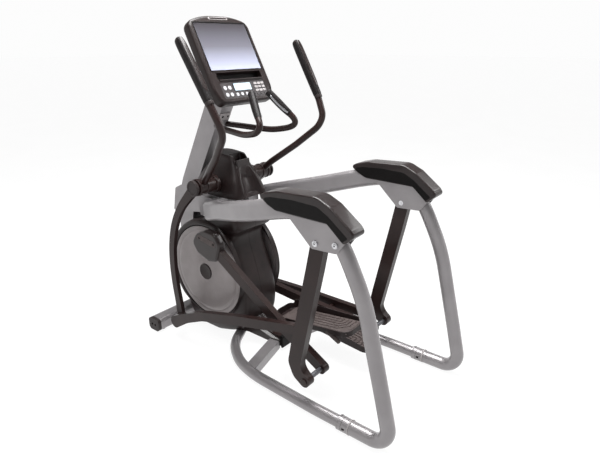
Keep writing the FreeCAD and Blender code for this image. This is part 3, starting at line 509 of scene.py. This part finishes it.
def build_drive_cover():
    """Two shell halves with a waisted rear face, arched rims round the discs, a collar and a foot."""
    levels = [(0.022, 0.118, 0.400, 0.640, 6), (0.060, 0.128, 0.290, 0.676, 7),
              (0.110, 0.134, 0.232, 0.694, 8), (0.200, 0.138, 0.208, 0.720, 9),
              (0.320, 0.138, 0.214, 0.750, 9), (0.420, 0.138, 0.240, 0.752, 9),
              (0.500, 0.136, 0.268, 0.738, 8), (0.560, 0.132, 0.288, 0.712, 7),
              (0.605, 0.132, 0.290, 0.680, 7), (0.632, 0.137, 0.272, 0.638, 7),
              (0.652, 0.144, 0.246, 0.600, 8), (0.680, 0.146, 0.238, 0.520, 8),
              (0.711, 0.144, 0.242, 0.468, 8)]
    for side_name, side in SIDES:
        shell = halve(level_loft(side_name + "_cover_shell", levels), side)
        soften(shell, 0)
        finish_piece(shell, "frame", "graphite_plastic", [side_name + "_shroud"])
        rim = lathe(side_name + "_disc_rim", [(0.128, 0.296), (0.148, 0.294), (0.155, 0.289), (0.158, 0.282),
                                              (0.158, 0.270), (0.154, 0.264), (0.146, 0.2625),
                                              (0.128, 0.262)], CRANK, side, 160)
        shape_rim(rim)
        open_ends(rim)
        finish_piece(rim, "frame", "graphite_plastic")

    foot_levels = []
    for step in range(9):
        t = step / 8
        foot_levels.append((0.300 - 0.276 * t, 0.100 - 0.052 * t ** 0.8, 0.066 + 0.124 * (1 - t) ** 1.6))
    verts, faces = [], []
    across = 32
    for y, half, top in foot_levels:
        for k in range(across + 1):
            u = k / across * 2 - 1
            ridge = 0.006 * (1 if 0.18 < abs(u) < 0.30 or 0.55 < abs(u) < 0.68 else 0)
            verts.append((half * u, y, top + ridge - 0.018 * u * u))
        verts.append((half, y, 0.058))
        verts.append((-half, y, 0.058))
    row = across + 3
    for i in range(len(foot_levels) - 1):
        for k in range(row):
            n = (k + 1) % row
            faces.append((i * row + k, i * row + n, (i + 1) * row + n, (i + 1) * row + k))
    faces.append(tuple(range(row))[::-1])
    faces.append(tuple(range((len(foot_levels) - 1) * row, len(foot_levels) * row)))
    foot = add_mesh("ridged_foot", verts, faces)
    soften(foot, 0.002, 2)
    finish_piece(foot, "frame", "gloss_plastic", ["base_cover"])
    end = slab("rear_end_cap", rounded([(0.018, 0.020, 0.006), (0.030, 0.020, 0.004), (0.044, 0.086, 0.004),
                                        (0.018, 0.092, 0.010)]), -0.050, 0.050, 0.004)
    finish_piece(end, "frame", "matte_black")


def open_ends(obj):
    """Remove the two end discs that close a turned piece, and join its inner wall instead."""
    work = bmesh.new()
    work.from_mesh(obj.data)
    caps = [f for f in work.faces if len(f.verts) > 8]
    bmesh.ops.delete(work, geom=caps, context="FACES_ONLY")
    rims = [e for e in work.edges if e.is_boundary]
    bmesh.ops.bridge_loops(work, edges=rims)
    bmesh.ops.recalc_face_normals(work, faces=work.faces)
    work.to_mesh(obj.data)
    work.free()


def shape_rim(obj):
    """The rim stands out in front and above, and fades to nothing at the rear and on the floor side."""
    for vert in obj.data.vertices:
        dy, dz = vert.co.y - CRANK.y, vert.co.z - CRANK.z
        radius = math.hypot(dy, dz)
        if radius > 0.2635:
            fade = min(1, max(0, (vert.co.y - 0.215) / 0.15)) * min(1, max(0, (vert.co.z - 0.085) / 0.10))
            scale = (0.2625 + (radius - 0.2625) * fade) / radius
            vert.co.y, vert.co.z = CRANK.y + dy * scale, CRANK.z + dz * scale


def build_tower():
    """Upper cover: tapered, with a scooped channel down its rear face and a holder at the top."""
    count, samples = 96, 60
    levels = smooth_path([(0.822, 0.124, 0.240, 0.640, 5), (0.850, 0.121, 0.246, 0.632, 5),
                          (0.900, 0.107, 0.266, 0.600, 4.5), (0.950, 0.084, 0.292, 0.560, 4.5),
                          (0.990, 0.068, 0.318, 0.520, 5), (1.015, 0.061, 0.336, 0.490, 6),
                          (1.026, 0.056, 0.344, 0.478, 6)], samples)
    verts, faces = [], []
    for z, wide, rear, front, power in levels:
        for a, b in superellipse(wide, (front - rear) / 2, power, count):
            y = (front + rear) / 2 + b
            if b > 0:
                a *= 1 - 0.35 * (2 * b / (front - rear)) ** 2
            if b < 0:
                depth = 0.030 * min(1, max(0, (0.975 - z) / 0.06)) * min(1, max(0, (z - 0.822) / 0.03 + 0.4))
                channel = math.exp(-(a / (0.42 * wide)) ** 4)
                y += depth * channel * min(1, -b / (0.35 * (front - rear)))
            verts.append((a, y, z + 0.10 * max(0, z - 0.97) * (y - 0.34) / 0.05))
    for i in range(samples):
        for k in range(count):
            n = (k + 1) % count
            faces.append((i * count + k, i * count + n, (i + 1) * count + n, (i + 1) * count + k))
    faces.append(tuple(range(count))[::-1])
    faces.append(tuple(range(samples * count, (samples + 1) * count)))
    tower = add_mesh("tower_shell", verts, faces)
    tilt = Matrix.Translation((0, 0.302, 0.932)) @ Matrix.Rotation(math.radians(-12), 4, "X")
    hole = slab("hole", rounded([(-0.041, 0.001, 0.008), (0.041, 0.001, 0.008), (0.041, 0.057, 0.008),
                                 (-0.041, 0.057, 0.008)]), 0.0, 0.16, 0.0, tilt, "XY")
    hole.modifiers.clear()
    carve(tower, [hole])
    finish_piece(tower, "frame", "graphite_plastic", ["upper_shroud"])
    lip = slab("holder_lip", rounded([(-0.047, -0.004, 0.010), (0.047, -0.004, 0.010), (0.047, 0.006, 0.004),
                                      (-0.047, 0.006, 0.004)]), 0.040, 0.078, 0.003, tilt, "XY")
    finish_piece(lip, "frame", "gloss_plastic")


def build_rail_cover(side_name, side):
    """Long end cover: smooth graphite top that turns down the sides, black recessed flanks."""
    outline = rounded([(-0.150, 0.985, 0.012), (-0.196, 0.952, 0.024), (-0.240, 0.934, 0.040),
                       (-0.500, 0.932, 0.020), (-0.574, 0.868, 0.008), (-0.624, 0.908, 0.016),
                       (-0.606, 0.932, 0.012), (-0.512, 1.002, 0.050), (-0.446, 1.031, 0.080),
                       (-0.250, 1.020, 0.120), (-0.185, 1.003, 0.050)])
    low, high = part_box(side_name + "_rail_cover")
    body = slab(side_name + "_end_cover", outline, low.x, high.x, 0.013)
    finish_piece(body, "frame", "gloss_plastic", [side_name + "_rail_cover"])
    flank = rounded([(-0.172, 0.978, 0.008), (-0.205, 0.955, 0.022), (-0.244, 0.9395, 0.040),
                     (-0.498, 0.9375, 0.020), (-0.570, 0.877, 0.004), (-0.596, 0.898, 0.006),
                     (-0.505, 0.966, 0.050), (-0.452, 0.994, 0.060), (-0.330, 0.998, 0.100),
                     (-0.220, 0.990, 0.080)])
    for name, x in (("outer", high.x if side > 0 else low.x), ("inner", low.x if side > 0 else high.x)):
        out = 0.0008 * (1 if x > (low.x + high.x) / 2 else -1)
        panel = slab("%s_%s_flank" % (side_name, name), flank, min(x + out, x - 4 * out),
                     max(x + out, x - 4 * out), 0.0008)
        finish_piece(panel, "frame", "matte_black")


def dome(name, centre, side, radius, height, material, body="frame", face=6):
    """Domed screw head with a flat matte black hexagon on top, painted shade in place of a recessed hexagon
    socket.
    """
    profile = [(0, radius * 1.02), (height * 0.35, radius * 1.02), (height * 0.36, radius * 0.9)]
    for k in range(1, 7):
        turn = math.radians(15 * k)
        profile.append((height * (0.36 + 0.64 * math.sin(turn)), radius * 0.9 * math.cos(turn) + 1e-4))
    profile = [(x, r) for x, r in profile if r > radius * 0.3]
    head = lathe(name, [(centre.x * side + x, r) for x, r in profile], centre, side, 36)
    finish_piece(head, body, material)
    socket_x = centre.x * side + profile[-1][0]
    # painted shade: a thin matte black hexagon on the flat top stands in for the shaded socket recess
    socket_shade = lathe(name + "_socket_shade", [(socket_x - 0.001, radius * 0.29), (socket_x + 0.0002, radius * 0.29)],
                    centre, side, face)
    finish_piece(socket_shade, body, "matte_black")


# ------------------------------------------------------------------ drive

def build_disc(side_name, side):
    """Crank disc with stepped concentric rings."""
    profile = [(0.1495, 0.2575), (0.1520, 0.2590), (0.1550, 0.2580), (0.1568, 0.2540), (0.1572, 0.2380),
               (0.1560, 0.2330), (0.1552, 0.2310), (0.1562, 0.2290), (0.1590, 0.2240), (0.1596, 0.2100),
               (0.1590, 0.1500), (0.1580, 0.0700), (0.1585, 0.0540), (0.1600, 0.0500)]
    disc = lathe(side_name + "_crank_cover", profile, CRANK, side, 160)
    finish_piece(disc, "crank", "disc_silver", ["crank_discs"])
    cap = lathe(side_name + "_disc_boss", [(0.158, 0.046), (0.1645, 0.0455), (0.166, 0.0435), (0.1655, 0.034),
                                           (0.1645, 0.030)], CRANK, side, 96)
    finish_piece(cap, "crank", "cap_plastic", ["disc_caps"])


def build_knuckle(side_name, side):
    """Clamshell over the crank pivot: domed halves, raised pad and two screws."""
    place = side_frame(pivot(side_name, "arm_tilt"), SUPPORT_SLOPE[side_name])
    outline = rounded([(0.946, -0.030, 0.040), (0.940, 0.034, 0.050), (0.892, 0.098, 0.050),
                       (0.828, 0.128, 0.040), (0.766, 0.096, 0.040), (0.748, -0.004, 0.040),
                       (0.804, -0.046, 0.050), (0.884, -0.058, 0.050)])
    near, far = 0.2015, 0.2500
    low, high = sorted((side * near, side * far))
    shell = slab(side_name + "_knuckle", outline, low, high, 0.014, place)
    finish_piece(shell, side_name + "_support", "gloss_plastic",
                 [side_name + "_knuckle_cover"])
    pad_outline = rounded([(0.930, 0.016, 0.016), (0.914, 0.052, 0.016), (0.800, 0.092, 0.014),
                           (0.786, 0.064, 0.014)])
    low, high = sorted((side * (far - 0.004), side * (far + 0.0012)))
    pad = slab(side_name + "_knuckle_pad", pad_outline, low, high, 0.0012, place)
    finish_piece(pad, side_name + "_support", "pedal_rubber")
    for index, (a, b) in enumerate(((0.904, 0.034), (0.806, 0.074))):
        spot = place @ Vector((0, a, b))
        spot.x = side * (far + 0.0008)
        dome("%s_knuckle_screw_%d" % (side_name, index), spot, side, 0.0060, 0.0016, "matte_black",
             side_name + "_support")


# ------------------------------------------------------------------ pedals and hand holds

def build_pedal(side_name, side):
    """Foot plate: raised inner wall and toe cup, rounded tray, grooved tread."""
    place = side_frame(pivot(side_name, "pedal_turn"), LINK_SLOPE[side_name] + PEDAL_PITCH)
    inner, outer = 0.045, 0.196
    body = side_name + "_pedal"
    middle, half = side * (inner + outer) / 2, (outer - inner) / 2
    rear, front = -0.383, 0.054
    plan = rounded([(-half, rear, 0.045), (half, rear, 0.045), (half, front - 0.02, 0.050),
                    (half - 0.03, front, 0.040), (-half + 0.03, front, 0.040),
                    (-half, front - 0.02, 0.050)], 10)
    count = len(plan)
    verts, faces = [], []

    def wall_height(a, b):
        toward_inner = max(0, (-side * a) / half)
        inner_wall = 0.036 * min(1, max(0, (toward_inner - 0.80) / 0.12)) * min(1, (b - rear) / 0.16 + 0.15)
        toe = 0.026 * min(1, max(0, (b - (front - 0.05)) / 0.05))
        heel = 0.004
        return 0.006 + max(inner_wall, toe, heel)

    rings = ((1.00, -0.014, 0), (1.00, -0.010, 0), (1.0, None, 0), (0.955, None, 0), (0.93, 0.0, 1))
    for scale, z, _ in rings:
        for p in plan:
            a = p.x * scale
            b = (p.y - (rear + front) / 2) * (1 - (1 - scale) * 0.36) + (rear + front) / 2
            height = wall_height(p.x, p.y) if z is None else z
            verts.append(place @ Vector((middle + a, b, height)))
    for i in range(len(rings) - 1):
        for k in range(count):
            n = (k + 1) % count
            faces.append((i * count + k, i * count + n, (i + 1) * count + n, (i + 1) * count + k))
    faces.append(tuple(range(count))[::-1])
    faces.append(tuple(range((len(rings) - 1) * count, len(rings) * count)))
    tray = add_mesh(side_name + "_foot_tray", verts, faces)
    soften(tray, 0.0025, 3, 30)
    finish_piece(tray, body, "graphite_plastic", [side_name + "_pedal"])

    columns, lines = 96, 240
    verts, faces = [], []
    wide = half * 0.90
    tread_rear, tread_front = rear + 0.014, front - 0.030
    for i in range(lines + 1):
        b = tread_rear + (tread_front - tread_rear) * i / lines
        for k in range(columns + 1):
            a = -wide + 2 * wide * k / columns
            edge = min(1, min(wide - abs(a), b - tread_rear, tread_front - b) / 0.006)
            outward = side * a
            inset = min(wide - outward, b - tread_rear, (wide - outward + b - tread_rear - 0.055) * 0.707)
            groove = 1 if inset % 0.0215 < 0.0040 else 0
            inside = 1 if inset > 0.014 and outward > -0.75 * wide and b < tread_front - 0.10 else 0
            z = 0.001 + 0.0060 * edge - 0.0042 * groove * inside
            verts.append(place @ Vector((middle + a, b, z)))
    row = columns + 1
    for i in range(lines):
        for k in range(columns):
            faces.append((i * row + k, i * row + k + 1, (i + 1) * row + k + 1, (i + 1) * row + k))
    border = [k for k in range(row)] + [i * row + columns for i in range(1, lines + 1)]
    border += [lines * row + k for k in range(columns - 1, -1, -1)]
    border += [i * row for i in range(lines - 1, 0, -1)]
    base = len(verts)
    for index in border:
        spot = place.inverted() @ Vector(verts[index])
        spot.z = -0.002
        verts.append(place @ spot)
    for k in range(len(border)):
        n = (k + 1) % len(border)
        faces.append((border[k], border[n], base + n, base + k))
    faces.append(tuple(range(base, base + len(border))))
    tread = add_mesh(side_name + "_tread", verts, faces)
    for face in tread.data.polygons:
        face.use_smooth = False
    finish_piece(tread, body, "pedal_rubber")
    peg = loft(side_name + "_pedal_peg",
               [(*(place @ Vector((side * (outer - 0.009), b, z))), radius, radius)
                for b, z, radius in ((-0.262, -0.004, 0.011), (-0.270, -0.010, 0.0112),
                                     (-0.318, -0.042, 0.0112), (-0.326, -0.047, 0.0100),
                                     (-0.329, -0.049, 0.004))],
               Vector((1, 0, 0)), 2.0, 28, 24)
    finish_piece(peg, body, "pedal_rubber")


def build_grip(side_name):
    """Flattened grip with a glossy upper face and a collar at its foot."""
    low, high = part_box(side_name + "_grip")
    x = (low.x + high.x) / 2
    radius = (high.x - low.x) / 2
    along = Vector((0, high.y - low.y - 2 * radius, high.z - low.z - 2 * radius)).normalized()
    start = Vector((x, low.y + radius, low.z + radius))
    length = (Vector((x, high.y - radius, high.z - radius)) - start).length
    body = side_name + "_lever"

    def station(t, wide, tall):
        return (*(start + along * (length * t)), wide, tall)

    grip = loft(side_name + "_grip_sleeve",
                [station(-0.02, 0.018, 0.018), station(0.0, 0.0195, 0.0205), station(0.15, 0.0190, 0.0220),
                 station(0.50, 0.0185, 0.0230), station(0.85, 0.0185, 0.0225), station(0.97, 0.0175, 0.0205),
                 station(1.01, 0.0135, 0.0150), station(1.03, 0.0050, 0.0060)],
                Vector((1, 0, 0)).cross(along), 2.5, 40, 60)
    finish_piece(grip, body, "rubber", [side_name + "_grip"])
    across = Vector((1, 0, 0)).cross(along).normalized()
    across = across if across.y < 0 else -across
    shine = loft(side_name + "_grip_face",
                 [(*(start + along * (length * t) + across * out), wide, 0.004)
                  for t, wide, out in ((0.12, 0.004, 0.0190), (0.20, 0.0130, 0.0198), (0.50, 0.0140, 0.0206),
                                       (0.85, 0.0135, 0.0202), (0.97, 0.0100, 0.0180), (1.0, 0.004, 0.016))],
                 across, 2.2, 24, 40)
    finish_piece(shine, body, "gloss_plastic")
    collar = loft(side_name + "_grip_collar",
                  [station(-0.075, 0.0185, 0.0185), station(-0.070, 0.0200, 0.0200),
                   station(-0.030, 0.0205, 0.0205), station(-0.020, 0.0190, 0.0190)],
                  Vector((1, 0, 0)).cross(along), 2.0, 32, 20)
    finish_piece(collar, body, "cap_plastic")


def build_shaft_cap(side_name, side):
    """Black cap on the outer end of the cross shaft at the foot of the hanging arm."""
    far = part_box(side_name + "_swing_arm")[1 if side > 0 else 0].x * side
    profile = [(far - 0.001, 0.0165), (far + 0.003, 0.0165), (far + 0.0048, 0.0145), (far + 0.0052, 0.006)]
    cap = lathe(side_name + "_shaft_cap", profile, pivot(side_name, "pivot_turn"), side, 40)
    finish_piece(cap, side_name + "_pivot", "black_paint")


def build_pulse_bar(side_name, side):
    """Fixed hand hold: one smooth tube, a thicker grip and two metal pulse plates."""
    path = [(0.036, 0.462, 1.1712), (0.062, 0.396, 1.1658), (0.084, 0.290, 1.1608), (0.104, 0.200, 1.1595),
            (0.124, 0.115, 1.1740), (0.131, 0.078, 1.1930), (0.125, 0.072, 1.2180), (0.112, 0.092, 1.2460),
            (0.094, 0.123, 1.2790), (0.076, 0.153, 1.3140), (0.057, 0.184, 1.3500)]
    bar = loft(side_name + "_pulse_tube", [(side * x, y, z, 0.0152, 0.0152) for x, y, z in path],
               Vector((0, 0.5, 0.86)), 2.0, 32, 90)
    replaced = ["pulse_handlebars", "pulse_sensors"] if side < 0 else []
    finish_piece(bar, "frame", "black_paint", replaced)
    widths = (0.0160, 0.0182, 0.0184, 0.0172)
    grip = loft(side_name + "_pulse_grip", [(side * x, y, z, r, r) for (x, y, z), r in zip(path[7:], widths)],
                Vector((0, 0.5, 0.86)), 2.3, 32, 40)
    finish_piece(grip, "frame", "rubber")
    for index, offset in enumerate((0.0118, -0.0118)):
        plate = loft("%s_pulse_plate_%d" % (side_name, index),
                     [(side * x + offset, y - 0.0095, z - 0.004, r, 0.0052)
                      for (x, y, z), r in zip([(0.107, 0.100, 1.2550), *path[8:10], (0.064, 0.172, 1.336)],
                                              (0.0040, 0.0082, 0.0082, 0.0045))],
                     Vector((offset * 60, -0.86, 0.5)), 2.2, 24, 36)
        finish_piece(plate, "frame", "steel")


def build_hub(side_name, side):
    """Collars on the lever's barrel and a dished end cap."""
    centre = pivot(side_name, "lever_swing")
    rings = (("root", [(0.128, 0.044), (0.131, 0.047), (0.146, 0.047), (0.150, 0.043)]),
             ("band", [(0.196, 0.0395), (0.198, 0.0425), (0.206, 0.0425), (0.208, 0.0395)]),
             ("seat", [(0.238, 0.0405), (0.241, 0.0435), (0.252, 0.0435), (0.256, 0.0405)]))
    for name, profile in rings:
        ring = lathe("%s_hub_%s" % (side_name, name), profile, centre, side, 64)
        finish_piece(ring, side_name + "_lever", "black_paint")
    cap = lathe(side_name + "_hub_end", [(0.268, 0.041), (0.277, 0.041), (0.281, 0.038), (0.2815, 0.031),
                                         (0.279, 0.029), (0.2795, 0.010)], centre, side, 64)
    finish_piece(cap, side_name + "_lever", "cap_plastic")


# ------------------------------------------------------------------ console

def console_frame():
    """X across the face, Y up it, Z towards the user."""
    return Matrix.Translation(CONSOLE_FOOT) @ Matrix.Rotation(math.radians(90 - CONSOLE_LEAN), 4, "X")


def face_box(name, a_low, b_low, a_high, b_high, low, high, radius, bevel):
    outline = rounded([(a_low, b_low, radius), (a_high, b_low, radius), (a_high, b_high, radius),
                       (a_low, b_high, radius)])
    return slab(name, outline, low, high, bevel, console_frame(), "XY")


def build_console():
    """Housing with rounded shoulders, screen in a thin bezel, rack slot, keypad."""
    face = rounded([(-0.178, 0, 0.040), (0.178, 0, 0.040), (0.200, 0.070, 0.090), (0.196, 0.418, 0.050),
                    (0.090, 0.448, 0.400), (-0.090, 0.448, 0.400), (-0.196, 0.418, 0.050),
                    (-0.200, 0.070, 0.090)], 12)
    shell = slab("console_shell", face, -0.055, 0.0, 0.014, console_frame(), "XY")
    cuts = []
    for name, a, b_low, b_high, depth, radius in (("screen_room", 0.1700, 0.1660, 0.4080, 0.006, 0.004),
                                                  ("slot_room", 0.1500, 0.1160, 0.1540, 0.034, 0.010),
                                                  ("key_room", 0.1500, 0.0220, 0.1040, 0.0045, 0.012)):
        cutter = face_box(name, -a, b_low, a, b_high, -depth, 0.02, radius, 0)
        cutter.modifiers.clear()
        cuts.append(cutter)
    carve(shell, cuts)
    finish_piece(shell, "frame", "graphite_plastic", ["console_housing"])
    glass = face_box("display_glass", -0.1695, 0.1665, 0.1695, 0.4075, -0.005, -0.0012, 0.003, 0.0006)
    finish_piece(glass, "frame", "screen_glass", ["screen_glass"])
    for name, box in (("bezel_low", (-0.172, 0.1625, 0.172, 0.1662)),
                      ("bezel_high", (-0.172, 0.4078, 0.172, 0.4115)),
                      ("bezel_left", (-0.1735, 0.1625, -0.1698, 0.4115)),
                      ("bezel_right", (0.1698, 0.1625, 0.1735, 0.4115))):
        strip = face_box("screen_" + name, *box, -0.003, 0.0014, 0.001, 0.0006)
        finish_piece(strip, "frame", "matte_black")
    # painted shade: a thin matte black sheet across the back of the deep slot
    inside = face_box("slot_back_shade", -0.149, 0.117, 0.149, 0.153, -0.0335, -0.031, 0.008, 0)
    finish_piece(inside, "frame", "matte_black")
    shelf = face_box("slot_shelf", -0.146, 0.112, 0.146, 0.118, -0.030, 0.006, 0.002, 0.0015)
    finish_piece(shelf, "frame", "gloss_plastic")
    badge = face_box("top_badge", -0.062, 0.4235, 0.062, 0.4375, -0.002, 0.0012, 0.005, 0.0008)
    finish_piece(badge, "frame", "label_grey")
    badge_core = face_box("top_badge_core", -0.056, 0.4265, 0.056, 0.4345, -0.002, 0.0018, 0.003, 0.0004)
    finish_piece(badge_core, "frame", "graphite_plastic")
    window = face_box("status_glass", -0.068, 0.0590, 0.046, 0.0960, -0.002, 0.0008, 0.003, 0.0005)
    finish_piece(window, "frame", "window_blue")
    frame_strip = face_box("status_frame", -0.072, 0.0565, 0.050, 0.0985, -0.002, 0.0002, 0.004, 0.0005)
    finish_piece(frame_strip, "frame", "matte_black")
    for column in range(3):
        for line in range(4):
            a, b = 0.072 + 0.025 * column, 0.029 + 0.018 * line
            key = face_box("digit_key_%d_%d" % (column, line), a, b, a + 0.020, b + 0.012, -0.002, 0.0009,
                           0.003, 0.0006)
            finish_piece(key, "frame", "label_grey" if line else "keypad_print")
    round_keys = [(-0.128 + 0.030 * c, 0.042 + 0.034 * r, 0.0100) for c in range(2) for r in range(2)]
    round_keys += [(-0.062 + 0.032 * c, 0.040, 0.0090) for c in range(4)]
    for index, (a, b, radius) in enumerate(round_keys):
        circle = [Vector((a + radius * math.cos(k * math.pi / 16), b + radius * math.sin(k * math.pi / 16)))
                  for k in range(32)]
        key = slab("round_key_%d" % index, circle, -0.002, 0.0014, 0.0008, console_frame(), "XY")
        replaced = ["keypad_buttons"] if index == 0 else []
        finish_piece(key, "frame", "key_white", replaced)


def build_neck_plate():
    """Pale clamp plate under the console, with flat black discs as painted shade for its screw holes."""
    slope = math.atan2(-0.473, 0.881)
    place = Matrix.Translation((0, 0.436, 1.217)) @ Matrix.Rotation(-slope, 4, "X")
    outline = rounded([(-0.034, -0.020, 0.006), (0.034, -0.020, 0.006), (0.034, 0.020, 0.006),
                       (-0.034, 0.020, 0.006)])
    stand = place @ Matrix.Rotation(math.radians(90), 4, "X")
    plate = slab("clamp_plate", outline, -0.004, 0.006, 0.0015, stand, "XY")
    finish_piece(plate, "frame", "label_grey")
    for index, a in enumerate((-0.018, 0.018)):
        # painted shade: thin matte black discs on the plate stand in for the shaded screw holes
        circle = [Vector((a + 0.006 * math.cos(k * math.pi / 12), 0.006 * math.sin(k * math.pi / 12)))
                  for k in range(24)]
        hole = slab("clamp_hole_shade_%d" % index, circle, 0.005, 0.0068, 0.0005, stand, "XY")
        finish_piece(hole, "frame", "matte_black")


def build_sleeve_details(side_name, side):
    """Collar rings and a split line on the rear joint of the base tube."""
    low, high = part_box("hoop_joints")
    x = side * (high.x - 0.033)
    z = (low.z + high.z) / 2
    for name, y, wide, radius, material in (("collar", low.y - 0.003, 0.007, 0.0345, "label_grey"),
                                            ("front_collar", high.y - 0.004, 0.005, 0.0338, "silver_paint"),
                                            ("split", (low.y + high.y) / 2 + 0.004, 0.0022, 0.0333,
                                             "matte_black")):
        profile = [(-wide / 2, radius - 0.002), (-wide / 2 + 0.0005, radius),
                   (wide / 2 - 0.0005, radius), (wide / 2, radius - 0.002)]
        ring = lathe("%s_sleeve_%s" % (side_name, name), profile,
                     Vector((0, 0, 0)), 1, 64)
        ring.data.transform(Matrix.Translation((x, y, z + (0.0012 if radius > 0.0335 else 0)))
                            @ Matrix.Rotation(math.radians(90), 4, "Z"))
        finish_piece(ring, "frame", material)


build_drive_cover()
build_tower()
build_console()
build_neck_plate()
for side_name, side in SIDES:
    build_rail_cover(side_name, side)
    build_disc(side_name, side)
    build_knuckle(side_name, side)
    build_pedal(side_name, side)
    build_grip(side_name)
    build_hub(side_name, side)
    build_shaft_cap(side_name, side)
    build_pulse_bar(side_name, side)
    build_sleeve_details(side_name, side)
    for index, (y, z) in enumerate(((-0.443, 0.842), (-0.537, 0.856))):
        dome("%s_gusset_screw_%d" % (side_name, index), Vector((side * 0.3782, y, z)), side, 0.0125, 0.0080,
             "chrome")


build_stage()
build_camera()
bpy.context.scene.view_settings.view_transform = "Standard"
